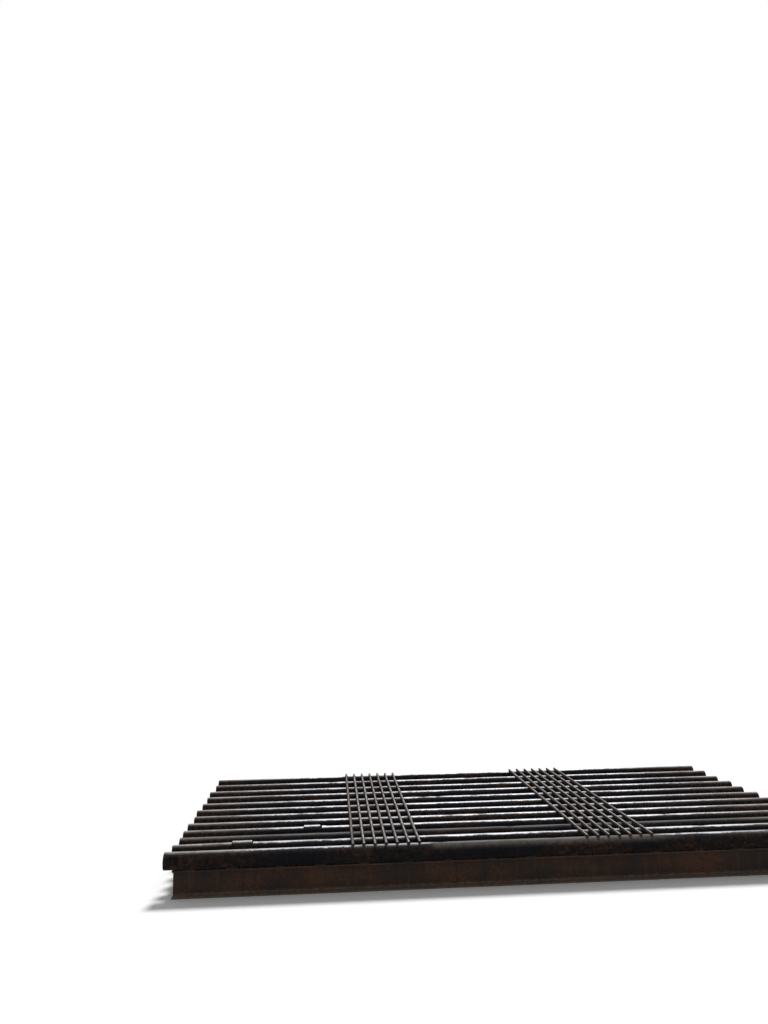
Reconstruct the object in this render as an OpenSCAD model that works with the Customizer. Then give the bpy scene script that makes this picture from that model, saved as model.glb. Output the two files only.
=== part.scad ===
// Cattle grid: steel pipes laid across a road on welded bearers, with two groups of
// round rods along the wheel tracks. X runs along the pipes, +Y is the way of travel,
// Z is up. The origin is on the ground below the middle of the grid.

/* [Deck] */
// Width of the grid across the road, which is the length of the front pipe
grid_w = 4775; // [4200:1:5500]
// Depth of the grid along the road, from the front pipe's face to the back pipe's
grid_d = 2438; // [2300:1:2600]
// Outer diameter of the front pipe
front_pipe_d = 114.3; // [108:0.1:120]
// Wall of the front pipe
front_pipe_t = 6.4; // [5:0.1:8]
// Outer diameter of the other deck pipes
pipe_d = 88.9; // [84:0.1:96]
// Wall of the other deck pipes
pipe_t = 6.5; // [4:0.1:8]
// How much shorter the deck pipes are than the front pipe, at each end
end_step = 32; // [20:1:45]
// How unevenly the ends of the deck pipes were cut
end_scatter = 9; // [0:1:12]

/* [Couplings] */
// Outer diameter of the couplings that join two lengths of salvaged pipe
coupling_d = 108; // [104:0.5:114]
// Length of the second pipe's coupling
coupling_2_len = 138; // [115:1:160]
// Centre of the second pipe's coupling, from the pipe's left end
coupling_2_in = 474; // [430:1:520]
// Length of the fourth pipe's coupling
coupling_4_len = 122; // [110:1:128]
// Centre of the fourth pipe's coupling, from the pipe's left end
coupling_4_in = 941; // [938:1:1000]
// Radius of the bend in the second pipe's short left length
bend_r = 7500; // [6000:100:12000]

/* [Wheel tracks] */
// Diameter of the round rods
rod_d = 19; // [16:0.5:22]
// Number of rods in each wheel track
rod_n = 7; // [5:1:8]
// Distance from one rod to the next
rod_pitch = 76; // [60:1:85]
// Centre of the left wheel track
left_track_x = -900; // [-1050:1:-750]
// Centre of the right wheel track
right_track_x = 723; // [600:1:850]
// How far the rods reach in front of the front pipe's centre line
rod_front = 22; // [10:1:35]
// How far the rods reach behind the back pipe's centre line
rod_back = 28; // [15:1:35]

/* [Bearers] */
// Number of I-beams between the two end channels
bearer_n = 5; // [4:1:6]
// Height of the bearers, the end channels and the back channel
bearer_h = 203.2; // [180:0.1:230]
// Width of an I-beam's flange
flange_w = 101.6; // [90:0.1:106]
// Thickness of an I-beam's flange
flange_t = 10.8; // [7:0.1:12]
// Thickness of an I-beam's web
web_t = 6.9; // [5:0.1:9]
// Width of a channel's flange
channel_w = 57; // [50:1:64]
// Thickness of a channel's flange
channel_t = 9.9; // [8:0.1:12]
// Thickness of a channel's web
channel_web = 6; // [5:0.1:8]
// How far the end channels stand in from the ends of the deck pipes
end_inset = 26; // [15:1:40]

/* [Hidden] */
$fn = 48;
// Distances from one pipe's centre line to the next, front to back, as this grid
// was set out by eye: close in front and wider behind
gaps = [172, 164, 185, 202, 205, 212, 221, 234, 227, 257, 257];
pipe_n = len(gaps) + 1;
weld_bite = 0.5;
root_r = 9;
rod_chamfer = 1.5;
notch_gap = 1.2;
pipe_gap = 4;
over = 1;
// Turns in degrees that spread the uneven cut ends without a pattern that shows
left_turn = 137;
right_turn = 211;

function total(list, n) = n == 0 ? 0 : list[n - 1] + total(list, n - 1);

front_y = -grid_d / 2 + front_pipe_d / 2;
back_y = grid_d / 2 - pipe_d / 2;
gap_scale = (back_y - front_y) / total(gaps, pipe_n - 1);
function pipe_y(i) = front_y + gap_scale * total(gaps, i - 1);

pipe_z = bearer_h - weld_bite + pipe_d / 2;
deck_z = pipe_z + pipe_d / 2;
front_pipe_z = deck_z - front_pipe_d / 2;
header_h = deck_z - front_pipe_d + weld_bite;
rod_z = deck_z - weld_bite + rod_d / 2;

function left_end(i) = -grid_w / 2 + end_step + end_scatter * sin(left_turn * i);
function right_end(i) = grid_w / 2 - end_step + end_scatter * sin(right_turn * i);
coupling_2_x = left_end(2) + coupling_2_in;
coupling_4_x = left_end(4) + coupling_4_in;

frame_x = grid_w / 2 - end_step - end_inset;
frame_front_y = front_y + channel_w / 2;
frame_back_y = back_y - channel_w / 2;
bearer_pitch = 2 * (frame_x - channel_w / 2) / (bearer_n + 1);
rise = bearer_h - header_h + weld_bite;
notch_y = front_y + sqrt(pow(front_pipe_d / 2, 2) - pow(front_pipe_d / 2 - rise, 2))
    + notch_gap;

whole_pipes = [3, 5, 6, 7, 8, 9, 10, 11];

// A round bar along X between two places
module bar_x(from, to, d) {
    translate([from, 0, 0]) rotate([0, 90, 0]) cylinder(d = d, h = to - from);
}

// A pipe along X, open at both ends
module tube_x(from, to, d, t) {
    difference() {
        bar_x(from, to, d);
        bar_x(from - over, to + over, d - 2 * t);
    }
}

// Puts a piece on the centre line of pipe i
module at_pipe(i) {
    translate([0, pipe_y(i), pipe_z]) children();
}

// A flat outline in Y and Z, drawn out along X
module along_x(from, to) {
    translate([from, 0, 0]) rotate([90, 0, 90]) linear_extrude(to - from) children();
}

// A flat outline in X and Z, drawn out along Y
module along_y(from, to) {
    translate([0, to, 0]) rotate([90, 0, 0]) linear_extrude(to - from) children();
}

// The rounded root where a web meets a flange
module root(r) {
    difference() {
        square(r);
        translate([r, r]) circle(r);
    }
}

// One half of a rolled section: half the web with a flange above and below
module half_section(h, reach, flange, web) {
    square([web, h]);
    square([reach, flange]);
    translate([0, h - flange]) square([reach, flange]);
    translate([web, flange]) root(root_r);
    translate([web, h - flange]) mirror([0, 1]) root(root_r);
}

module i_section() {
    half_section(bearer_h, flange_w / 2, flange_t, web_t / 2);
    mirror([1, 0]) half_section(bearer_h, flange_w / 2, flange_t, web_t / 2);
}

module channel_section(h) {
    half_section(h, channel_w, channel_t, channel_web);
}

// A beam from the front channel to the back one, cut away below the front pipe
module notched() {
    difference() {
        along_y(frame_front_y, frame_back_y) children();
        translate([-flange_w, frame_front_y - over, header_h])
            cube([2 * flange_w, notch_y - frame_front_y + over, bearer_h]);
    }
}

module front_pipe() {
    color([0.36, 0.31, 0.29])
        translate([0, front_y, front_pipe_z])
            tube_x(-grid_w / 2, grid_w / 2, front_pipe_d, front_pipe_t);
}

module deck_pipe(i) {
    color([0.52, 0.49, 0.47])
        at_pipe(i) tube_x(left_end(i), right_end(i), pipe_d, pipe_t);
}

// The right length of a pipe that was joined from two, up to inside its coupling
module pipe_right(i, joint_x) {
    color([0.52, 0.49, 0.47])
        at_pipe(i) tube_x(joint_x + pipe_gap / 2, right_end(i), pipe_d, pipe_t);
}

module coupling(i, joint_x, length) {
    color([0.45, 0.41, 0.38])
        at_pipe(i)
            tube_x(joint_x - length / 2, joint_x + length / 2,
                coupling_d, (coupling_d - pipe_d) / 2);
}

// The second pipe's short left length, bent forwards in one gentle curve
module deck_pipe_2_left() {
    from_x = coupling_2_x - pipe_gap / 2;
    color([0.52, 0.49, 0.47])
        at_pipe(2) translate([from_x, -bend_r, 0]) rotate([0, 0, 90])
            rotate_extrude(angle = (from_x - left_end(2)) / bend_r * 180 / PI)
                translate([bend_r, 0]) difference() {
                    circle(d = pipe_d);
                    circle(d = pipe_d - 2 * pipe_t);
                }
}

module deck_pipe_4_left() {
    color([0.52, 0.49, 0.47])
        at_pipe(4) tube_x(left_end(4), coupling_4_x - pipe_gap / 2, pipe_d, pipe_t);
}

// A rod with its two cut edges taken off
module track_rod(track_x, k) {
    x = track_x + (k - (rod_n + 1) / 2) * rod_pitch;
    from = front_y - rod_front + end_scatter / 2 * sin(left_turn * k + track_x);
    to = back_y + rod_back + end_scatter / 2 * sin(right_turn * k + track_x);
    tip = rod_d / 2 - rod_chamfer;
    color([0.60, 0.56, 0.53])
        translate([x, from, rod_z]) rotate([-90, 0, 0]) {
            cylinder(r1 = tip, r2 = rod_d / 2, h = rod_chamfer);
            translate([0, 0, rod_chamfer])
                cylinder(d = rod_d, h = to - from - 2 * rod_chamfer);
            translate([0, 0, to - from - rod_chamfer])
                cylinder(r1 = rod_d / 2, r2 = tip, h = rod_chamfer);
        }
}

module bearer(k) {
    color([0.30, 0.23, 0.19])
        translate([(k - (bearer_n + 1) / 2) * bearer_pitch, 0, 0]) notched() i_section();
}

module left_end_channel() {
    color([0.30, 0.23, 0.19])
        translate([-frame_x, 0, 0]) notched() channel_section(bearer_h);
}

module right_end_channel() {
    mirror([1, 0, 0]) left_end_channel();
}

module front_channel() {
    color([0.30, 0.23, 0.19])
        translate([0, frame_front_y, 0]) mirror([0, 1, 0])
            along_x(-frame_x, frame_x) channel_section(header_h);
}

module back_channel() {
    color([0.30, 0.23, 0.19])
        translate([0, frame_back_y, 0])
            along_x(-frame_x, frame_x) channel_section(bearer_h);
}

front_pipe();
deck_pipe_2_left();
pipe_right(2, coupling_2_x);  // deck_pipe_2_right
coupling(2, coupling_2_x, coupling_2_len);  // deck_pipe_2_coupling
deck_pipe_4_left();
pipe_right(4, coupling_4_x);  // deck_pipe_4_right
coupling(4, coupling_4_x, coupling_4_len);  // deck_pipe_4_coupling
for (i = whole_pipes) {
    deck_pipe(i);
}
deck_pipe(pipe_n);  // back_pipe
for (k = [1:rod_n]) {
    track_rod(left_track_x, k);
    track_rod(right_track_x, k);
}
for (k = [1:bearer_n]) {
    bearer(k);
}
left_end_channel();
right_end_channel();
front_channel();
back_channel();
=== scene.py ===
import math
import random

import bmesh
import bpy
from mathutils import Matrix, Vector


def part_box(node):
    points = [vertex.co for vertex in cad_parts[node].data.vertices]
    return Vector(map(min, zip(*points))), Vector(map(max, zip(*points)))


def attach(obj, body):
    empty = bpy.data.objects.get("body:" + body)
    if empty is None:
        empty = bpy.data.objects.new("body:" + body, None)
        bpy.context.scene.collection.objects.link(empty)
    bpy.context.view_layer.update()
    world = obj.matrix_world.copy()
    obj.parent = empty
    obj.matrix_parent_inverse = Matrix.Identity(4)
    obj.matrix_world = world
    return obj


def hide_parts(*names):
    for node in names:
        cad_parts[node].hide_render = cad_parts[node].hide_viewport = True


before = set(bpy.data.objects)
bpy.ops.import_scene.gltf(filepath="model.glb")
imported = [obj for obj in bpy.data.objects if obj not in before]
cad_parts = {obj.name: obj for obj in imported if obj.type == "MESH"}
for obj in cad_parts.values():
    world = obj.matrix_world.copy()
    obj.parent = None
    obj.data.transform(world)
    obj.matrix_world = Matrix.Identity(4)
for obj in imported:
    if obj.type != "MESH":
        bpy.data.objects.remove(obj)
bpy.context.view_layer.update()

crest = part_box("deck_pipe_5")[1].z               # top of every pipe
pipeRadius = (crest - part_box("deck_pipe_5")[0].z) / 2
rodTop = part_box("left_track_rod_1")[1].z
rodRadius = (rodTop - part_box("left_track_rod_1")[0].z) / 2
wheelTracks = [(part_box(side + "_track_rod_1")[0].x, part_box(side + "_track_rod_7")[1].x)
               for side in ("left", "right")]
pipeNodes = ["front_pipe", "deck_pipe_2_right", "deck_pipe_3", "deck_pipe_4_right"]
pipeNodes += ["deck_pipe_%d" % i for i in range(5, 12)] + ["back_pipe"]


def middleOf(node):
    low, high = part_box(node)
    return (low + high) / 2


def pieceName(cadNode):
    # deck_pipe_3 becomes deckPipe3
    first, *others = cadNode.split("_")
    return first + "".join(word.capitalize() for word in others)


pipeRows = [middleOf(node).y for node in pipeNodes]     # front to back


# Modelling helpers

def freshStart():
    if bpy.context.object and bpy.context.object.mode != "OBJECT":
        bpy.ops.object.mode_set(mode="OBJECT")
    bpy.ops.object.select_all(action="DESELECT")


def settle(name):
    # the newest piece gets its name, and its place goes into its mesh
    bpy.ops.object.transform_apply(location=True, rotation=True, scale=True)
    piece = bpy.context.object
    piece.name = name
    piece.data.name = name
    return piece


def pick(kind, test):
    # selects the vertices, edges or faces that pass the test, in edit mode
    mesh = bpy.context.edit_object.data
    bpy.ops.mesh.select_mode(type={"verts": "VERT", "edges": "EDGE", "faces": "FACE"}[kind])
    bpy.ops.mesh.select_all(action="DESELECT")
    bm = bmesh.from_edit_mesh(mesh)
    for part in getattr(bm, kind):
        if test(part):
            part.select_set(True)
    bm.select_flush_mode()
    bmesh.update_edit_mesh(mesh)


def pickRing(place, step):
    # the ring of vertices at this place along X, where rings are a step apart
    pick("verts", lambda v: abs(v.co.x - place) < step / 4)


def edgeMiddle(edge):
    return (edge.verts[0].co + edge.verts[1].co) / 2


def edgeRun(edge):
    return edge.verts[1].co - edge.verts[0].co


def startTube(name, sides, radius, length, middle, cuts, ends="NOTHING"):
    # a cylinder along X with extra rings, left in edit mode
    freshStart()
    bpy.ops.mesh.primitive_cylinder_add(vertices=sides, radius=radius, depth=length, location=middle,
                                        rotation=(0, math.pi / 2, 0), end_fill_type=ends)
    tube = settle(name)
    bpy.ops.object.mode_set(mode="EDIT")
    pick("edges", lambda e: abs(edgeRun(e).x) > length / 2)
    bpy.ops.mesh.subdivide(number_cuts=cuts)
    return tube


def resizeRing(factor, centre):
    bpy.ops.transform.resize(value=(1, factor, factor), center_override=centre)


def leaveMesh():
    # every face looks outwards, and edit mode ends
    bpy.ops.mesh.select_all(action="SELECT")
    bpy.ops.mesh.normals_make_consistent(inside=False)
    bpy.ops.object.mode_set(mode="OBJECT")


def roughen(piece, size, depth, direction="NORMAL", lift=0.0):
    # a Displace modifier with a cloud pattern, applied at once
    clouds = bpy.data.textures.new(piece.name + "Clouds", "CLOUDS")
    clouds.noise_scale = size
    clouds.noise_depth = 1
    wave = piece.modifiers.new("wave", "DISPLACE")
    wave.texture = clouds
    wave.texture_coords = "LOCAL"
    wave.direction = direction
    wave.strength = depth
    wave.mid_level = 0.5 + lift
    bpy.context.view_layer.objects.active = piece
    bpy.ops.object.modifier_apply(modifier="wave")
    bpy.data.textures.remove(clouds)


def smooth(piece, degrees=35):
    # edges sharper than this stay sharp
    freshStart()
    piece.select_set(True)
    bpy.context.view_layer.objects.active = piece
    bpy.ops.object.shade_smooth_by_angle(angle=math.radians(degrees))


def dress(piece, finish, slotName, *nodes):
    # finish in one material slot, body, and the CAD nodes that the piece stands for; slotName is not used
    piece.data.materials.clear()
    piece.data.materials.append(finish)
    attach(piece, "root")
    if nodes:
        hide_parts(*nodes)


def copyOf(piece, name):
    twin = piece.copy()
    twin.data = piece.data.copy()
    twin.name = name
    twin.data.name = name
    bpy.context.collection.objects.link(twin)
    return twin


def joinAll(pieces, name):
    freshStart()
    for piece in pieces:
        piece.select_set(True)
    bpy.context.view_layer.objects.active = pieces[0]
    bpy.ops.object.join()
    joined = bpy.context.object
    joined.name = name
    joined.data.name = name
    return joined


# Material helpers

def newFinish(name):
    finish = bpy.data.materials.new(name)
    finish.use_nodes = True
    tree = finish.node_tree
    return finish, tree, tree.nodes["Principled BSDF"]


def node(tree, kind, **settings):
    made = tree.nodes.new(kind)
    for key, value in settings.items():
        setattr(made, key, value)
    return made


def plug(tree, value, socket):
    # value is another node's output, or a plain number or colour
    if isinstance(value, bpy.types.NodeSocket):
        tree.links.new(value, socket)
    else:
        socket.default_value = value


def plugAll(tree, shader, values):
    for name, value in values.items():
        plug(tree, value, shader.inputs[name])


def sums(tree, operation, *values):
    made = node(tree, "ShaderNodeMath", operation=operation)
    for value, socket in zip(values, made.inputs):
        plug(tree, value, socket)
    return made.outputs[0]


def times(tree, a, b):
    return sums(tree, "MULTIPLY", a, b)


def wander(tree, noise, amount, value):
    # moves a value by up to half the amount either way
    return sums(tree, "MULTIPLY_ADD", sums(tree, "SUBTRACT", noise, 0.5), amount, value)


def awayFrom(tree, x, middle):
    return sums(tree, "ABSOLUTE", sums(tree, "SUBTRACT", x, middle))


def ramp(tree, value, start, end, low=0.0, high=1.0):
    # low before the start, high after the end
    made = node(tree, "ShaderNodeMapRange", interpolation_type="SMOOTHSTEP")
    plugAll(tree, made, {"Value": value, "From Min": start, "From Max": end, "To Min": low, "To Max": high})
    return made.outputs["Result"]


def blendColour(tree, amount, a, b):
    made = node(tree, "ShaderNodeMix", data_type="RGBA")
    plug(tree, amount, made.inputs["Factor"])
    plug(tree, a, made.inputs[6])
    plug(tree, b, made.inputs[7])
    return made.outputs[2]


def grain(tree, scale, detail=4.0, stretch=(1, 1, 1), shift=(0, 0, 0), roughness=0.55):
    # noise on the piece's own coordinates, stretched along an axis where asked
    place = node(tree, "ShaderNodeTexCoord")
    fit = node(tree, "ShaderNodeMapping")
    plugAll(tree, fit, {"Vector": place.outputs["Object"], "Location": shift, "Scale": stretch})
    noise = node(tree, "ShaderNodeTexNoise")
    plugAll(tree, noise, {"Vector": fit.outputs["Vector"], "Scale": scale, "Detail": detail,
                          "Roughness": roughness})
    return noise.outputs["Fac"]


def axes(tree):
    # X and Z of the piece's own coordinates
    place = node(tree, "ShaderNodeTexCoord")
    split = node(tree, "ShaderNodeSeparateXYZ")
    plug(tree, place.outputs["Object"], split.inputs["Vector"])
    return split.outputs["X"], split.outputs["Z"]


def bumps(tree, *layers):
    # layers are (height, depth in metres), each laid on the one before
    normal = None
    for height, depth in layers:
        bump = node(tree, "ShaderNodeBump")
        plugAll(tree, bump, {"Height": height, "Strength": 1.0, "Distance": depth})
        if normal is not None:
            plug(tree, normal, bump.inputs["Normal"])
        normal = bump.outputs["Normal"]
    return normal


# Rusted skin, shared by every piece of steel. In the finishes below, a row of two or four numbers is
# a ramp: where it starts and ends, and where they differ from 0 and 1 its values there

rustGrain = {
    "broad": dict(scale=3.2, detail=5.0, shift=(3.1, 0, 0)),
    "fine": dict(scale=34.0, detail=10.0, shift=(0, 1.7, 0), roughness=0.68),
    "pits": dict(scale=210.0, detail=4.0, shift=(0, 0, 4.3)),
    "fineShare": 0.58,       # how much the fine grain counts beside the broad one
    "oldRust": (0.455, 0.545),
    "flakeInside": (0.55, 0.59),
    "flakeOutside": (0.67, 0.61),
    "flakeShare": 0.65,
    "rustyPits": (0.60, 0.68, 0.0, 0.6),
    "darkPits": (0.40, 0.32, 0.0, 0.7),
}


def rustedSkin(tree, look, coat=rustGrain):
    # dark scale that gives way to old rust in broad areas and to fresh rust at the edges of its flakes
    broad = grain(tree, stretch=look["rustStretch"], **coat["broad"])
    fine = grain(tree, **coat["fine"])
    share = coat["fineShare"]
    mixed = sums(tree, "MULTIPLY_ADD", fine, share, times(tree, broad, 1 - share))

    def rustRamp(ends):
        return ramp(tree, mixed, ends[0] - look["rust"], ends[1] - look["rust"])

    skin = blendColour(tree, rustRamp(coat["oldRust"]), look["skin"], look["oldRust"])
    flakeEdge = times(tree, rustRamp(coat["flakeInside"]), rustRamp(coat["flakeOutside"]))
    skin = blendColour(tree, times(tree, flakeEdge, coat["flakeShare"]), skin, look["freshRust"])
    pits = grain(tree, **coat["pits"])
    skin = blendColour(tree, ramp(tree, pits, *coat["rustyPits"]), skin, look["freshRust"])
    skin = blendColour(tree, ramp(tree, pits, *coat["darkPits"]), skin, look["skin"])
    return skin, fine, pits


# Pipe steel: near-black skin with rust, darkened as painted shade on the sides, and a pale crest that is
# bare steel where wheels have run and painted highlight along the top

pipeFinish = {
    # pipe skin: dark oxide, darkened further as painted shade, its blue tint a painted sky reflection
    "skin": (0.0052, 0.0060, 0.0088, 1),
    "oldRust": (0.019, 0.0130, 0.0108, 1),
    "freshRust": (0.074, 0.035, 0.021, 1),
    "dust": (0.250, 0.225, 0.200, 1),
    # pale crest colour: bare steel and painted highlight
    "bare": (0.620, 0.638, 0.682, 1),
    "dull": (0.430, 0.425, 0.440, 1),
    "rust": 0.0,             # more rust above zero, less below
    "rustStretch": (0.5, 1, 1),
    "crest": crest,          # height of the piece's highest line
    "wear": 1.0,             # how bare and bright its crest is
    "bandTop": 0.0012,       # below the crest, bare steel and painted highlight all over
    "bandFoot": 0.0078,      # below the crest, neither left where most wheels go
    "bandFootDull": 0.0048,  # and where few go
    "bandPlay": 0.010,       # how far that border wanders
    "streaks": dict(scale=26.0, detail=5.0, stretch=(0.22, 1, 1)),
    "underRods": 0.45,       # how much of the crest's brightness is left in the rod tracks: less polish where rods carry the wheels, and painted shade of the rods
    "rodMargin": (0.03, 0.05),     # it comes back from here inside a track to there beside it
    "brightMiddle": -0.10,   # where most wheels and hooves go, across the grid
    "brightHalf": 1.30,      # the crest is bright this far from there
    "dullHalf": 2.30,        # and dull from here outwards
    "borderPlay": 0.8,       # how far those borders wander
    "dullShare": 0.65,       # how bare and bright the crest is where few go
    "patches": dict(scale=2.2, detail=3.0),
    "pitted": (0.59, 0.66),
    "pittedWhere": (0.42, 0.62, 0.15, 0.65),
    "endRust": (1.7, 2.3),
    "endRustGrain": (0.44, 0.58),
    "endRustShare": 0.45,
    "crestDust": (0.001, 0.014, 1.0, 0.0),
    "crestDustWhere": (0.0, 0.9, 0.75, 0.10),
    "dustGrain": (0.36, 0.62, 0.55, 1.0),
    "dusted": None,          # stretch in X where dust lies over the crest
    "dustedPlay": 0.5,       # how far its borders wander
    "dustedBorders": (0.08, 0.15),         # half the width of its left and right border
    "dustedPolish": 0.25,    # how much of the polish shows through
    "dustedDepth": (0.004, 0.045, 0.42, 0.0),
    "scratches": dict(scale=70.0, detail=4.0, stretch=(6, 0.4, 1)),
    "scratchDust": (0.40, 0.66, 0.0, 0.35),
    "metallic": 0.45,
    "roughness": (0.15, 0.95, 0.84, 0.52),
    "scratchRoughness": 0.12,
    "specular": 0.12,
    "calm": (0.1, 0.9, 1.0, 0.30),         # bumps are lower on bare steel
    "flakeDepth": 0.0022,
    "pitDepth": 0.0006,
}


def polishAlong(tree, look, x, patches):
    # how far out along the pipe, and how much wheels polish it there
    far = wander(tree, patches, look["borderPlay"], awayFrom(tree, x, look["brightMiddle"]))
    polish = ramp(tree, far, look["brightHalf"], look["dullHalf"], 1.0, 0.0)
    inside, beside = look["rodMargin"]
    for low, high in wheelTracks:
        half = (high - low) / 2
        away = awayFrom(tree, x, (low + high) / 2)
        offRods = ramp(tree, away, half - inside, half + beside, look["underRods"], 1.0)
        polish = times(tree, polish, offRods)
    return far, polish


def bareAndLitCrest(tree, look, drop, polish, patches, pits):
    # band along the crest, bare steel and painted highlight, narrower and duller where few wheels go,
    # broken by pits
    foot = ramp(tree, polish, 0.0, 1.0, look["bandFootDull"], look["bandFoot"])
    band = ramp(tree, drop, look["bandTop"], foot, 1.0, 0.0)
    shown = ramp(tree, polish, 0.0, 1.0, look["dullShare"] * look["wear"], look["wear"])
    pitted = times(tree, ramp(tree, pits, *look["pitted"]), ramp(tree, patches, *look["pittedWhere"]))
    return times(tree, times(tree, band, shown), sums(tree, "SUBTRACT", 1.0, pitted))


def dustedStretch(tree, look, x, patches):
    start, end = look["dusted"]
    startHalf, endHalf = look["dustedBorders"]
    place = wander(tree, patches, look["dustedPlay"], x)
    return times(tree, ramp(tree, place, start - startHalf, start + startHalf),
                 ramp(tree, place, end - endHalf, end + endHalf, 1.0, 0.0))


def makePipeFinish(name, **changes):
    look = dict(pipeFinish, **changes)
    finish, tree, steel = newFinish(name)
    x, z = axes(tree)
    skin, fine, pits = rustedSkin(tree, look)
    patches = grain(tree, **look["patches"])
    far, polish = polishAlong(tree, look, x, patches)

    # the band's edge is broken by small patches and long streaks
    drop = sums(tree, "SUBTRACT", look["crest"], z)
    for noise in (fine, grain(tree, **look["streaks"])):
        drop = wander(tree, noise, look["bandPlay"], drop)
    bareAndLit = bareAndLitCrest(tree, look, drop, polish, patches, pits)

    # rust and dust towards the ends of the pipes
    endRust = times(tree, ramp(tree, far, *look["endRust"]), ramp(tree, fine, *look["endRustGrain"]))
    skin = blendColour(tree, times(tree, endRust, look["endRustShare"]), skin, look["freshRust"])
    settled = times(tree, ramp(tree, drop, *look["crestDust"]), ramp(tree, polish, *look["crestDustWhere"]))
    if look["dusted"]:
        covered = dustedStretch(tree, look, x, patches)
        bareAndLit = times(tree, bareAndLit, ramp(tree, covered, 0.0, 1.0, 1.0, look["dustedPolish"]))
        heaped = times(tree, covered, ramp(tree, drop, *look["dustedDepth"]))
        settled = sums(tree, "MAXIMUM", settled, heaped)
    dusting = times(tree, settled, ramp(tree, fine, *look["dustGrain"]))
    skin = blendColour(tree, dusting, skin, look["dust"])

    # crest colour: bare steel and painted highlight, duller where fewer wheels go, with fine scratches the
    # way the wheels run
    scratches = grain(tree, **look["scratches"])
    tone = blendColour(tree, polish, look["dull"], look["bare"])
    tone = blendColour(tree, ramp(tree, scratches, *look["scratchDust"]), tone, look["dust"])
    rough = ramp(tree, bareAndLit, *look["roughness"])
    calm = ramp(tree, bareAndLit, *look["calm"])
    plugAll(tree, steel, {
        "Base Color": blendColour(tree, bareAndLit, skin, tone),
        "Metallic": times(tree, bareAndLit, look["metallic"]),
        "Roughness": sums(tree, "MULTIPLY_ADD", scratches, look["scratchRoughness"], rough),
        "Specular IOR Level": look["specular"],
        "Normal": bumps(tree, (times(tree, fine, calm), look["flakeDepth"]),
                        (times(tree, pits, calm), look["pitDepth"])),
    })
    return finish


deckPipeFinish = makePipeFinish("deckPipeSteel")
frontPipeFinish = makePipeFinish("frontPipeSteel", wear=0.84, bandFoot=0.0054, bandFootDull=0.0044,
                                 brightHalf=1.20, dullHalf=2.20, dusted=(-0.63, 1.05))
brightPipeFinish = makePipeFinish("brightPipeSteel", rust=-0.01, bare=(0.530, 0.546, 0.584, 1))
# pipe 3's crest is darkened: a painted shadow lying along the whole pipe
shadowedPipeFinish = makePipeFinish("paintedShadowPipeSteel", wear=0.22)
couplingFinish = makePipeFinish("couplingSteel", rust=0.01, crest=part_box("deck_pipe_2_coupling")[1].z)
threadCrest = crest + 0.05       # far above it, so that no dust settles on the thread
threadFinish = makePipeFinish("threadSteel", rust=0.02, wear=0.0, crest=threadCrest)


# Rod steel: a narrow pale top that is bare steel and painted highlight, near-black sides darkened as
# painted shade, rusty below and at the cut ends

rodFinish = {
    "bare": (0.340, 0.336, 0.340, 1),
    "skin": (0.011, 0.011, 0.013, 1),
    "oldRust": (0.045, 0.028, 0.021, 1),
    "freshRust": (0.120, 0.056, 0.030, 1),
    "rust": 0.02,
    "rustStretch": (1, 1, 1),
    "bandTop": 0.0003,       # below the top of the rod, bare steel and painted highlight all over
    "bandFoot": 0.0028,      # below the top, neither left
    "bandPlay": 0.0045,      # how far that border wanders
    "pitted": (0.56, 0.66, 1.0, 0.4),
    "scratches": dict(scale=90.0, detail=4.0, stretch=(4, 0.3, 1)),
    "scratchRust": (0.42, 0.66, 0.0, 0.4),
    "metallic": 0.5,
    "roughness": (0.1, 0.95, 0.80, 0.50),
    "specular": 0.25,
    "flakeDepth": 0.0012,
    "pitDepth": 0.0004,
    "wear": {"left": (0.5, 1.0, 1.0, 0.8, 0.8, 1.0, 0.8),       # how bright each rod's top is
             "right": (1.0, 0.8, 1.0, 1.0, 1.0, 1.0, 0.8)},
}


def makeRodFinish(name, wear, look=rodFinish):
    finish, tree, steel = newFinish(name)
    _, z = axes(tree)
    skin, fine, pits = rustedSkin(tree, look)
    drop = wander(tree, fine, look["bandPlay"], sums(tree, "SUBTRACT", rodTop, z))
    band = ramp(tree, drop, look["bandTop"], look["bandFoot"], wear, 0.0)
    bareAndLit = times(tree, band, ramp(tree, pits, *look["pitted"]))
    scratches = grain(tree, **look["scratches"])
    tone = blendColour(tree, ramp(tree, scratches, *look["scratchRust"]), look["bare"], look["oldRust"])
    plugAll(tree, steel, {
        "Base Color": blendColour(tree, bareAndLit, skin, tone),
        "Metallic": times(tree, bareAndLit, look["metallic"]),
        "Roughness": ramp(tree, bareAndLit, *look["roughness"]),
        "Specular IOR Level": look["specular"],
        "Normal": bumps(tree, (fine, look["flakeDepth"]), (pits, look["pitDepth"])),
    })
    return finish


rodFinishes = {1.0: makeRodFinish("brightRodSteel", 1.0), 0.8: makeRodFinish("wornRodSteel", 0.8),
               0.5: makeRodFinish("dullRodSteel", 0.5)}


# Frame steel: mill scale gone brown, with rust runs down the webs and soil at the foot

frameFinish = {
    "skin": (0.022, 0.020, 0.021, 1),
    "oldRust": (0.052, 0.030, 0.022, 1),
    "freshRust": (0.130, 0.062, 0.033, 1),
    "soil": (0.190, 0.155, 0.122, 1),
    "rust": 0.03,
    "rustStretch": (1, 1, 1),
    "runs": dict(scale=24.0, detail=6.0, stretch=(1, 1, 0.10), roughness=0.62),
    "rustyRuns": (0.56, 0.66, 0.0, 0.35),
    "darkRuns": (0.44, 0.36, 0.0, 0.45),
    "soilHeight": (0.002, 0.030, 0.8, 0.0),
    "soilPlay": 0.06,        # how far its border wanders
    "soilGrain": (0.35, 0.55, 0.55, 1.0),
    "metallic": 0.0,
    "roughness": (0.35, 0.65, 0.66, 0.92),
    "specular": 0.25,
    "flakeDepth": 0.0024,
    "pitDepth": 0.0006,
}


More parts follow.
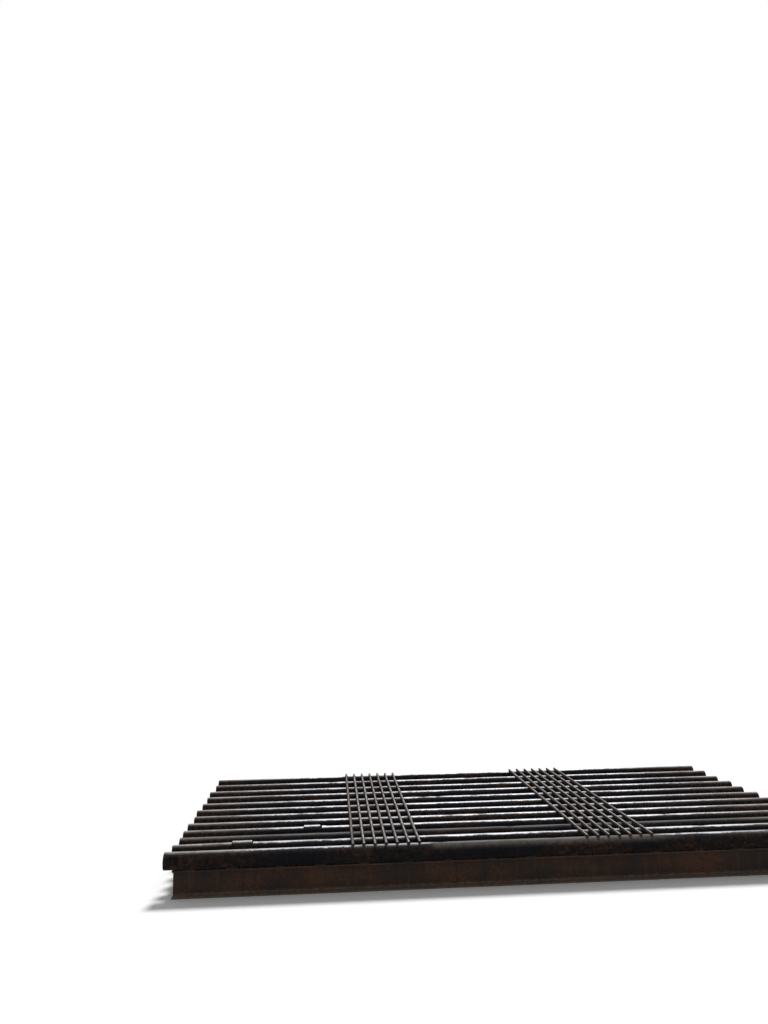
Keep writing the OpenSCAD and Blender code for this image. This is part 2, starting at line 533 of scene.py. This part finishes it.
def coatSteel(tree, steel, look, body, fine, pits):
    plugAll(tree, steel, {
        "Base Color": body,
        "Metallic": look["metallic"],
        "Roughness": ramp(tree, fine, *look["roughness"]),
        "Specular IOR Level": look["specular"],
        "Normal": bumps(tree, (fine, look["flakeDepth"]), (pits, look["pitDepth"])),
    })


def makeFrameFinish(look=frameFinish):
    finish, tree, steel = newFinish("rolledFrameSteel")
    _, z = axes(tree)
    body, fine, pits = rustedSkin(tree, look)
    runs = grain(tree, **look["runs"])
    body = blendColour(tree, ramp(tree, runs, *look["rustyRuns"]), body, look["freshRust"])
    body = blendColour(tree, ramp(tree, runs, *look["darkRuns"]), body, look["skin"])
    foot = ramp(tree, wander(tree, fine, look["soilPlay"], z), *look["soilHeight"])
    soiled = times(tree, foot, ramp(tree, pits, *look["soilGrain"]))
    body = blendColour(tree, soiled, body, look["soil"])
    coatSteel(tree, steel, look, body, fine, pits)
    return finish


rolledFinish = makeFrameFinish()


# Weld metal: dark grey-brown beads

weldLook = {
    "skin": (0.030, 0.028, 0.028, 1),
    "oldRust": (0.070, 0.042, 0.030, 1),
    "freshRust": (0.140, 0.068, 0.036, 1),
    "rust": 0.0,
    "rustStretch": (1, 1, 1),
    "metallic": 0.2,
    "roughness": (0.35, 0.65, 0.50, 0.82),
    "specular": 0.5,
    "flakeDepth": 0.0010,
    "pitDepth": 0.0004,
}


def makeWeldFinish(look=weldLook):
    finish, tree, steel = newFinish("weldMetal")
    coatSteel(tree, steel, look, *rustedSkin(tree, look))
    return finish


weldFinish = makeWeldFinish()
print("grid: finishes made")


# Pipes

pipeShape = {
    "walls": {"front": 0.0064, "deck": 0.0065},
    "sides": 48,
    "stretch": 0.065,        # length of one stretch outside the wheel tracks
    "trackCuts": 2,          # more cuts in each stretch where wheels run
    "trackMargin": 0.18,     # and this far beside the tracks
    "shortest": 0.01,        # no edge shorter than this along the pipe is cut again
    "skinPlay": 0.0003,      # keeps the wavy skin inside the true diameter
    "endPlay": 0.0016,       # room for an end that was cut out of square
    "slack": 1.05,           # an end's points lie within this many radii of its centre
    "level": 0.02,           # and a ring's points this close to equally far, in radii
    "flatness": 0.05,        # and this close to one plane, in radii
    "lip": 0.0008,
    "cutReach": 0.004,       # along the pipe, what belongs to the cut
    "ragged": 0.0005,
    "raggedShare": 0.2,
    "outOfSquare": 1.1,      # degrees
    "wave": 0.0011,
    "waveSize": 0.11,
    "waveLift": 0.35,
    "dents": (2, 4),
    "dentStretches": ((-1.55, -1.25), (-0.62, -0.35), (-0.1, 0.35), (1.0, 1.5)),
    "dentMargin": 0.1,       # no dent this near the end of a pipe
    "dentLean": 0.5,         # how far down the side a dent can lie, in radians
    "dentTip": 0.016,
    "dentDepth": (0.0015, 0.0035),
    "dentSpread": (0.05, 0.09),
}


def nearTrack(x, margin=pipeShape["trackMargin"]):
    return any(low - margin < x < high + margin for low, high in wheelTracks)


def closePipe(inner, outer, ends, look=pipeShape):
    # a flat cut face at each end, and the bore between them
    for centre in ends:
        pick("edges", lambda e: e.is_boundary and (edgeMiddle(e) - centre).length < outer * look["slack"])
        bpy.ops.mesh.extrude_region_move()
        bpy.ops.transform.resize(value=(inner / outer,) * 3, center_override=centre)
    pick("edges", lambda e: e.is_boundary)
    bpy.ops.mesh.bridge_edge_loops()


def cutEnds(ends, outer, chance, look=pipeShape):
    # edges of each cut face broken, the face a little ragged and out of square
    for centre in ends:
        def atEnd(vertex):
            return (vertex.co - centre).length < outer * look["slack"]

        def onCut(edge):
            a, b = (v.co - centre for v in edge.verts)
            level = abs(a.length - b.length) < outer * look["level"]
            return level and abs(edgeRun(edge).x) < outer * look["flatness"] and all(map(atEnd, edge.verts))

        pick("edges", onCut)
        bpy.ops.mesh.bevel(offset=look["lip"], segments=1, affect="EDGES")
        pick("verts", lambda v: abs((v.co - centre).x) < look["cutReach"] and atEnd(v))
        bpy.ops.transform.vertex_random(offset=look["ragged"], uniform=look["raggedShare"], normal=0.0,
                                        seed=chance.randint(0, 999))
        for axis in "ZY":
            angle = chance.uniform(-look["outOfSquare"], look["outOfSquare"])
            bpy.ops.transform.rotate(value=math.radians(angle), orient_axis=axis, center_override=centre)


def dentPipe(radius, middle, low, high, chance, look=pipeShape):
    # shallow dents between the rods and the pipe ends, where loads have dropped on the crest
    margin = look["dentMargin"]
    for _ in range(chance.randint(*look["dents"])):
        x = chance.choice([chance.uniform(*span) for span in look["dentStretches"]])
        if not low.x + margin < x < high.x - margin:
            continue
        lean = chance.uniform(-look["dentLean"], look["dentLean"])
        out = Vector((0, math.sin(lean), math.cos(lean)))
        spot = Vector((x, middle.y, middle.z)) + radius * out
        pick("verts", lambda v: (v.co - spot).length < look["dentTip"])
        push = -out * chance.uniform(*look["dentDepth"])
        bpy.ops.transform.translate(value=push, use_proportional_edit=True, use_proportional_connected=True,
                                    proportional_edit_falloff="SMOOTH",
                                    proportional_size=chance.uniform(*look["dentSpread"]))


def finishPipe(pipe, finish, slotName, cadNode, look=pipeShape):
    leaveMesh()
    roughen(pipe, look["waveSize"], look["wave"], lift=look["waveLift"])
    smooth(pipe)
    dress(pipe, finish, slotName, cadNode)


def makePipe(cadNode, finish, wall="deck", slotName="deck_pipe_steel", look=pipeShape):
    chance = random.Random(cadNode)
    low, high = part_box(cadNode)
    middle = (low + high) / 2
    outer = (high.z - low.z) / 2 - look["skinPlay"]
    length = high.x - low.x - 2 * look["endPlay"]
    cuts = max(2, round(length / look["stretch"]))
    pipe = startTube(pieceName(cadNode), look["sides"], outer, length, middle, cuts)
    pick("edges", lambda e: abs(edgeRun(e).x) > look["shortest"] and nearTrack(edgeMiddle(e).x))
    bpy.ops.mesh.subdivide(number_cuts=look["trackCuts"])
    ends = [middle + Vector((side * length / 2, 0, 0)) for side in (-1, 1)]
    closePipe(outer - look["walls"][wall], outer, ends)
    cutEnds(ends, outer, chance)
    dentPipe(outer, middle, low, high, chance)
    finishPipe(pipe, finish, slotName, cadNode)


makePipe("front_pipe", frontPipeFinish, "front", "front_pipe_steel")
makePipe("deck_pipe_2_right", brightPipeFinish)
makePipe("deck_pipe_3", shadowedPipeFinish)
for cadNode in ["deck_pipe_4_left", "deck_pipe_4_right"] + pipeNodes[4:]:
    makePipe(cadNode, deckPipeFinish)
print("grid: straight pipes laid")


# The second pipe's short left length, spun round the centre of its gentle bend

bentShape = {
    "bendRadius": 7.5,
    "steps": 24,
    "seam": 0.00001,         # points closer than this become one
}


def makeBentPipe(cadNode, finish, look=bentShape, shape=pipeShape):
    chance = random.Random(cadNode)
    low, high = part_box(cadNode)
    row = middleOf("deck_pipe_2_right")
    outer = (high.z - low.z) / 2 - shape["skinPlay"]
    start = Vector((high.x - shape["endPlay"], row.y, row.z))
    turn = (high.x - low.x - 2 * shape["endPlay"]) / look["bendRadius"]
    hub = start - Vector((0, look["bendRadius"], 0))
    freshStart()
    bpy.ops.mesh.primitive_circle_add(vertices=shape["sides"], radius=outer, location=start,
                                      rotation=(0, math.pi / 2, 0))
    pipe = settle(pieceName(cadNode))
    bpy.ops.object.mode_set(mode="EDIT")
    bpy.ops.mesh.select_all(action="SELECT")
    bpy.ops.mesh.spin(steps=look["steps"], angle=-turn, center=hub, axis=(0, 0, 1))
    bpy.ops.mesh.select_all(action="SELECT")
    bpy.ops.mesh.remove_doubles(threshold=look["seam"])
    ends = [hub + Matrix.Rotation(turn, 3, "Z") @ (start - hub), start]
    closePipe(outer - shape["walls"]["deck"], outer, ends)
    cutEnds(ends, outer, chance)
    finishPipe(pipe, finish, "deck_pipe_steel", cadNode)


makeBentPipe("deck_pipe_2_left", deckPipeFinish)


# Couplings, with the pipes' thickened and threaded ends at each mouth

couplingShape = {
    "sides": 48,
    "rings": 14,
    "chamfer": 0.0028,
    "skinPlay": 0.0003,
    "mouth": 0.0488,         # radius where the thread starts
    "recess": 0.006,
    "wave": 0.0009,
    "waveSize": 0.035,
    "waveLift": 0.2,
    "turns": {2: (1, 2), 4: (1, 4)},       # of thread that show left and right of each coupling
    "threadPitch": 0.0032,
    "threadDepth": 0.0009,
    "threadReach": 0.8,      # how far into the recess it goes
    "upset": 0.0006,         # how much thicker the pipe is at its thread
    "upsetTaper": 0.030,
    "tuck": 0.0004,          # how far below the pipe's skin the taper ends
    "collarWall": 0.0022,
    "collarSharp": 30,       # degrees
}


def makeCoupling(name, cadNode, look=couplingShape):
    low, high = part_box(cadNode)
    middle = (low + high) / 2
    outer = (high.z - low.z) / 2 - look["skinPlay"]
    length = high.x - low.x - 2 * look["chamfer"] - 2 * look["skinPlay"]
    sleeve = startTube(name, look["sides"], outer, length, middle, look["rings"])
    for side in (-1, 1):
        centre = middle + Vector((side * length / 2, 0, 0))
        pick("edges", lambda e: e.is_boundary and (edgeMiddle(e).x - middle.x) * side > 0)
        radius = outer
        for slide, nextRadius in ((look["chamfer"], outer - look["chamfer"]), (0, look["mouth"]),
                                  (-look["recess"], pipeRadius)):
            step = Vector((side * slide, 0, 0))
            bpy.ops.mesh.extrude_region_move(TRANSFORM_OT_translate={"value": step})
            centre = centre + step
            resizeRing(nextRadius / radius, centre)
            radius = nextRadius
    pick("edges", lambda e: e.is_boundary)
    bpy.ops.mesh.bridge_edge_loops()
    leaveMesh()
    roughen(sleeve, look["waveSize"], look["wave"], lift=look["waveLift"])
    smooth(sleeve)
    dress(sleeve, couplingFinish, "coupling_steel", cadNode)


def makeThreadedEnd(name, mouthX, middle, side, turns, look=couplingShape):
    # turns of thread that show outside the coupling, and the taper down to the pipe
    radius = pipeRadius + look["upset"]
    threaded = look["recess"] * look["threadReach"] + look["threadPitch"] * turns
    length = threaded + look["upsetTaper"]
    start = mouthX - side * look["recess"] * look["threadReach"]
    steps = round(2 * length / look["threadPitch"])
    collar = startTube(name, look["sides"], radius, length,
                       (start + side * length / 2, middle.y, middle.z), steps - 1)
    for ring in range(steps + 1):
        out = ring * length / steps
        if out > threaded:
            change = -(look["upset"] + look["tuck"]) * (out - threaded) / look["upsetTaper"]
        else:
            change = -look["threadDepth"] if ring % 2 else 0.0
        pickRing(start + side * out, length / steps)
        resizeRing(1 + change / radius, (start + side * out, middle.y, middle.z))
    leaveMesh()
    wall = collar.modifiers.new("wall", "SOLIDIFY")
    wall.thickness = look["collarWall"]
    wall.offset = -1
    bpy.ops.object.modifier_apply(modifier="wall")
    smooth(collar, look["collarSharp"])
    dress(collar, deckPipeFinish, "deck_pipe_steel")
    collar.data.materials.append(threadFinish)
    for face in collar.data.polygons:
        if abs(face.center.x - start) < threaded:
            face.material_index = 1


for number, (leftTurns, rightTurns) in couplingShape["turns"].items():
    coupling = "deck_pipe_%d_coupling" % number
    low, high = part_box(coupling)
    makeCoupling("coupling%d" % number, coupling)
    makeThreadedEnd("threadedEnd%dLeft" % number, low.x, middleOf(coupling), -1, leftTurns)
    makeThreadedEnd("threadedEnd%dRight" % number, high.x, middleOf(coupling), 1, rightTurns)
print("grid: couplings and the bent length made")


# Rods along the wheel tracks. One rod is modelled, sagging a little between pipes, and then copied

rodShape = {
    "sides": 20,
    "stretch": 0.030,
    "skinPlay": 0.0001,
    "chamfer": 0.0012,
    "edgeReach": 0.0005,     # how near the end an edge lies that is chamfered
    "flat": 0.0007,          # worn off the top
    "flatFrom": 0.93,        # of the radius, above the middle
    "sag": 0.0011,
    "sagSpan": 0.016,        # each side of the middle between two pipes
    "endReach": 0.006,       # how much of a copied rod's end moves to make its length
    "bow": 0.0030,           # how far rods wander sideways
    "bowSize": 0.42,
}


def makeFirstRod(look=rodShape):
    low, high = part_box("left_track_rod_1")
    middle = (low + high) / 2
    length = high.y - low.y
    freshStart()
    bpy.ops.mesh.primitive_cylinder_add(vertices=look["sides"], radius=rodRadius - look["skinPlay"],
                                        depth=length, location=(0, middle.y, middle.z),
                                        rotation=(math.pi / 2, 0, 0))
    rod = settle("firstRod")
    bpy.ops.object.mode_set(mode="EDIT")
    pick("edges", lambda e: abs(edgeRun(e).y) > length / 2)
    bpy.ops.mesh.subdivide(number_cuts=round(length / look["stretch"]))
    pick("edges", lambda e: abs(abs(edgeMiddle(e).y - middle.y) - length / 2) < look["edgeReach"])
    bpy.ops.mesh.bevel(offset=look["chamfer"], segments=2, affect="EDGES")
    for near, far in zip(pipeRows, pipeRows[1:]):
        centre = (near + far) / 2
        pick("verts", lambda v: abs(v.co.y - centre) < look["sagSpan"])
        bpy.ops.transform.translate(value=(0, 0, -look["sag"]), use_proportional_edit=True,
                                    proportional_edit_falloff="SMOOTH", proportional_size=(far - near) / 2)
    pick("verts", lambda v: v.co.z > middle.z + rodRadius * look["flatFrom"])
    bpy.ops.transform.translate(value=(0, 0, -look["flat"]))
    bpy.ops.object.mode_set(mode="OBJECT")
    return rod


def placeRod(first, cadNode, wear, look=rodShape):
    firstLow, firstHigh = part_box("left_track_rod_1")
    low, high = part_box(cadNode)
    rod = copyOf(first, pieceName(cadNode))
    rod.data.transform(Matrix.Translation(((low.x + high.x) / 2, 0, 0)))
    bpy.context.view_layer.objects.active = rod
    bpy.ops.object.mode_set(mode="EDIT")
    for edge, end in ((firstLow.y, low.y), (firstHigh.y, high.y)):
        pick("verts", lambda v: abs(v.co.y - edge) < look["endReach"])
        bpy.ops.transform.translate(value=(0, end - edge, 0))
    bpy.ops.object.mode_set(mode="OBJECT")
    roughen(rod, look["bowSize"], look["bow"], direction="X")
    smooth(rod)
    dress(rod, rodFinishes[wear], "rod_steel", cadNode)


firstRod = makeFirstRod()
for side, wears in rodFinish["wear"].items():
    for number, wear in enumerate(wears, 1):
        placeRod(firstRod, "%s_track_rod_%d" % (side, number), wear)
bpy.data.objects.remove(firstRod)
print("grid: rods laid")


# Weld beads

beadShape = {
    "sides": 8,
    "tack": (0.0052, 0.0105, 0.0046),      # half sizes of a tack beside a rod
    "tackRings": 5,
    "tackPlay": 0.0007,
    "filletRadius": 0.0048,
    "filletLength": 0.100,
    "filletPlay": 0.0004,
    "ripples": 9,
    "rippleIn": 0.86,        # every second ring is this much narrower
    "tipIn": 0.55,           # and the first and last this much
    "sharp": 60,             # degrees
}
tackPlace = {
    "flank": 0.86,           # of the rod's radius, from its middle
    "above": 0.0010,         # the pipes' crest
    "drift": 0.004,
    "size": (0.8, 1.15),
    "stretch": (0.9, 1.25),  # along the rod
}
filletPlace = {
    "out": 0.0165,           # from a pipe's lowest line to the middle of the bead beside it
    "above": 0.0012,         # the beam or channel
    "drift": 0.003,
    "share": 0.82,           # of the flange's width
    "length": (0.92, 1.0),
    "shorter": 0.045,        # upright beads, than the beam is high
    "besideWeb": 0.0045,
    "insideEnd": 0.0085,     # from the outer face of an end channel
    "inward": 0.0012,
}
runPlace = {
    "first": 0.12,           # from the channel's left end
    "last": 0.08,            # from its right end
    "step": 0.29,
    "drift": 0.02,
    "length": (0.55, 0.8),
}


def makeTack(look=beadShape):
    freshStart()
    bpy.ops.mesh.primitive_uv_sphere_add(segments=look["sides"], ring_count=look["tackRings"], radius=1,
                                         rotation=(math.pi / 2, 0, 0))
    bpy.ops.object.transform_apply(rotation=True)
    bpy.ops.transform.resize(value=look["tack"])
    tack = settle("firstTack")
    bpy.ops.object.mode_set(mode="EDIT")
    bpy.ops.mesh.select_all(action="SELECT")
    bpy.ops.transform.vertex_random(offset=look["tackPlay"], uniform=0.0, normal=0.5, seed=4)
    bpy.ops.object.mode_set(mode="OBJECT")
    return tack


def makeFillet(look=beadShape):
    # a short round run along X with ripples, about half of it sunk into the steel
    length, last = look["filletLength"], look["ripples"] + 1
    bead = startTube("firstFillet", look["sides"], look["filletRadius"], length, (0, 0, 0),
                     look["ripples"], "NGON")
    for ring in range(last + 1):
        place = -length / 2 + ring * length / last
        factor = look["rippleIn"] if ring % 2 else 1.0
        if ring in (0, last):
            factor = look["tipIn"]
        pickRing(place, length / last)
        resizeRing(factor, (place, 0, 0))
    bpy.ops.mesh.select_all(action="SELECT")
    bpy.ops.transform.vertex_random(offset=look["filletPlay"], uniform=0.0, normal=0.5, seed=7)
    bpy.ops.object.mode_set(mode="OBJECT")
    return bead


def placed(x, y, z, stretch):
    return Matrix.Translation((x, y, z)) @ Matrix.Diagonal((*stretch, 1))


def setBeads(first, spots, name, slotName):
    # spots are matrices, one for each copy
    beads = []
    for spot in spots:
        bead = copyOf(first, name + "Part")
        bead.data.transform(spot)
        beads.append(bead)
    joined = joinAll(beads, name)
    smooth(joined, beadShape["sharp"])
    dress(joined, weldFinish, slotName)


def tackSpots(side, look=tackPlace):
    # two tacks where each rod lies on each pipe
    chance = random.Random(side + " tacks")
    drift = look["drift"]
    spots = []
    for number in range(1, 8):
        rodX = middleOf("%s_track_rod_%d" % (side, number)).x
        for row in pipeRows:
            for flank in (-1, 1):
                size = chance.uniform(*look["size"])
                stretch = (size, size * chance.uniform(*look["stretch"]), size)
                beside = rodX + flank * rodRadius * look["flank"]
                spots.append(placed(beside, row + chance.uniform(-drift, drift), crest + look["above"],
                                    stretch))
    return spots


def beamSpots(beam, look=filletPlace):
    # a bead on both sides of each pipe but the first, and upright ones at the beam's ends
    chance = random.Random(beam + " welds")
    low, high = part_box(beam)
    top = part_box("bearer_1")[1].z
    middle = (low.x + high.x) / 2
    run = (high.x - low.x) * look["share"] / beadShape["filletLength"]
    drift = look["drift"]
    spots = []
    for row in pipeRows[1:]:
        for flank in (-1, 1):
            across = middle + chance.uniform(-drift, drift)
            spots.append(placed(across, row + flank * look["out"], top + look["above"],
                                (run * chance.uniform(*look["length"]), 1, 1)))
    if beam.startswith("bearer"):
        places = [middle - look["besideWeb"], middle + look["besideWeb"]]
    elif beam.startswith("left"):
        places = [low.x + look["insideEnd"]]
    else:
        places = [high.x - look["insideEnd"]]
    upright = Matrix.Rotation(math.pi / 2, 4, "Y")
    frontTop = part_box("front_channel")[1].z
    for end, height in ((low.y + look["inward"], frontTop), (high.y - look["inward"], top)):
        tall = (height - look["shorter"]) / beadShape["filletLength"]
        for x in places:
            spots.append(placed(x, end, height / 2, (1, 1, tall)) @ upright)
    return spots


def runSpots(channel, row, look=runPlace):
    # short beads along a pipe that lies on its channel
    chance = random.Random(channel)
    low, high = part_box(channel)
    drift = look["drift"]
    spots = []
    x = low.x + look["first"]
    while x < high.x - look["last"]:
        for flank in (-1, 1):
            spots.append(placed(x + chance.uniform(-drift, drift), row + flank * filletPlace["out"],
                                high.z + filletPlace["above"], (chance.uniform(*look["length"]), 1, 1)))
        x += look["step"]
    return spots


firstTack = makeTack()
firstFillet = makeFillet()
for side in ("left", "right"):
    setBeads(firstTack, tackSpots(side), side + "TrackTacks", "rod_steel")
for beam in ["bearer_%d" % i for i in range(1, 6)] + ["left_end_channel", "right_end_channel"]:
    setBeads(firstFillet, beamSpots(beam), pieceName(beam) + "Welds", "frame_steel")
for channel, row in (("front_channel", pipeRows[0]), ("back_channel", pipeRows[-1])):
    setBeads(firstFillet, runSpots(channel, row), pieceName(channel) + "Welds", "frame_steel")
bpy.data.objects.remove(firstTack)
bpy.data.objects.remove(firstFillet)
print("grid: welds run")


# Beams and channels keep their CAD shape

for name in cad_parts:
    if name.startswith("bearer") or name.endswith("channel"):
        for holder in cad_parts[name].material_slots:
            holder.material = rolledFinish
print("grid: frame steel finished")


# Camera at eye height in front of the grid

cameraPlace = {
    "spot": (-1.2626, -6.6484, 1.8083),
    "turnRight": 4.014,      # degrees from straight ahead
    "tiltUp": 7.929,
    "lean": 0.970,
    "lens": 27.04,
    "sensorWidth": 36,
    "nearest": 0.05,
    "farthest": 400,
}


def setCamera(look=cameraPlace):
    eye = bpy.data.objects.new("camera", bpy.data.cameras.new("camera"))
    bpy.context.scene.collection.objects.link(eye)
    eye.data.lens = look["lens"]
    eye.data.sensor_width = look["sensorWidth"]
    eye.data.sensor_fit = "AUTO"
    eye.data.clip_start = look["nearest"]
    eye.data.clip_end = look["farthest"]
    turned = Matrix.Rotation(-math.radians(look["turnRight"]), 4, "Z")
    tilted = Matrix.Rotation(math.pi / 2 + math.radians(look["tiltUp"]), 4, "X")
    leaned = Matrix.Rotation(-math.radians(look["lean"]), 4, "Z")
    eye.matrix_world = Matrix.Translation(look["spot"]) @ turned @ tilted @ leaned
    bpy.context.scene.camera = eye


setCamera()


# Floor, pale surroundings and one lamp, high behind the grid and to the right

studio = {
    "floor": (0.42, 0.42, 0.41, 1),        # as the object's surfaces see it
    "floorSeen": (1.0, 1.0, 1.0, 1),
    "floorSize": 240,
    "floorRoughness": 0.95,
    "fill": 0.34,
    "key": 2.75,
    "keySoftness": 14.0,     # degrees across
    "keyHeight": 55.0,       # degrees above the floor
    "keyFromRight": 22.0,    # degrees from straight behind
}


def seenDirectly(tree):
    # 1 where the eye looks straight at it, or through a mirror or glass
    rays = node(tree, "ShaderNodeLightPath").outputs
    seen = sums(tree, "MAXIMUM", rays["Is Camera Ray"], rays["Is Glossy Ray"])
    return sums(tree, "MAXIMUM", seen, rays["Is Transmission Ray"])


def layFloor(look=studio):
    freshStart()
    bpy.ops.mesh.primitive_plane_add(size=look["floorSize"], location=(0, 0, 0))
    floor = settle("floor")
    finish, tree, paint = newFinish("paleFloor")
    plugAll(tree, paint, {
        "Base Color": blendColour(tree, seenDirectly(tree), look["floor"], look["floorSeen"]),
        "Roughness": look["floorRoughness"],
        "Specular IOR Level": 0.0,
    })
    floor.data.materials.append(finish)


def lightUp(look=studio):
    world = bpy.data.worlds.new("paleStudio")
    world.use_nodes = True
    tree = world.node_tree
    strength = ramp(tree, seenDirectly(tree), 0.0, 1.0, look["fill"], 1.0)
    plugAll(tree, tree.nodes["Background"], {"Color": (1, 1, 1, 1), "Strength": strength})
    bpy.context.scene.world = world
    key = bpy.data.objects.new("key", bpy.data.lights.new("key", "SUN"))
    bpy.context.scene.collection.objects.link(key)
    key.data.energy = look["key"]
    key.data.angle = math.radians(look["keySoftness"])
    key.rotation_euler = (-math.radians(90 - look["keyHeight"]), 0, -math.radians(look["keyFromRight"]))


layFloor()
lightUp()
bpy.context.scene.view_settings.view_transform = "Standard"
print("grid: studio set")
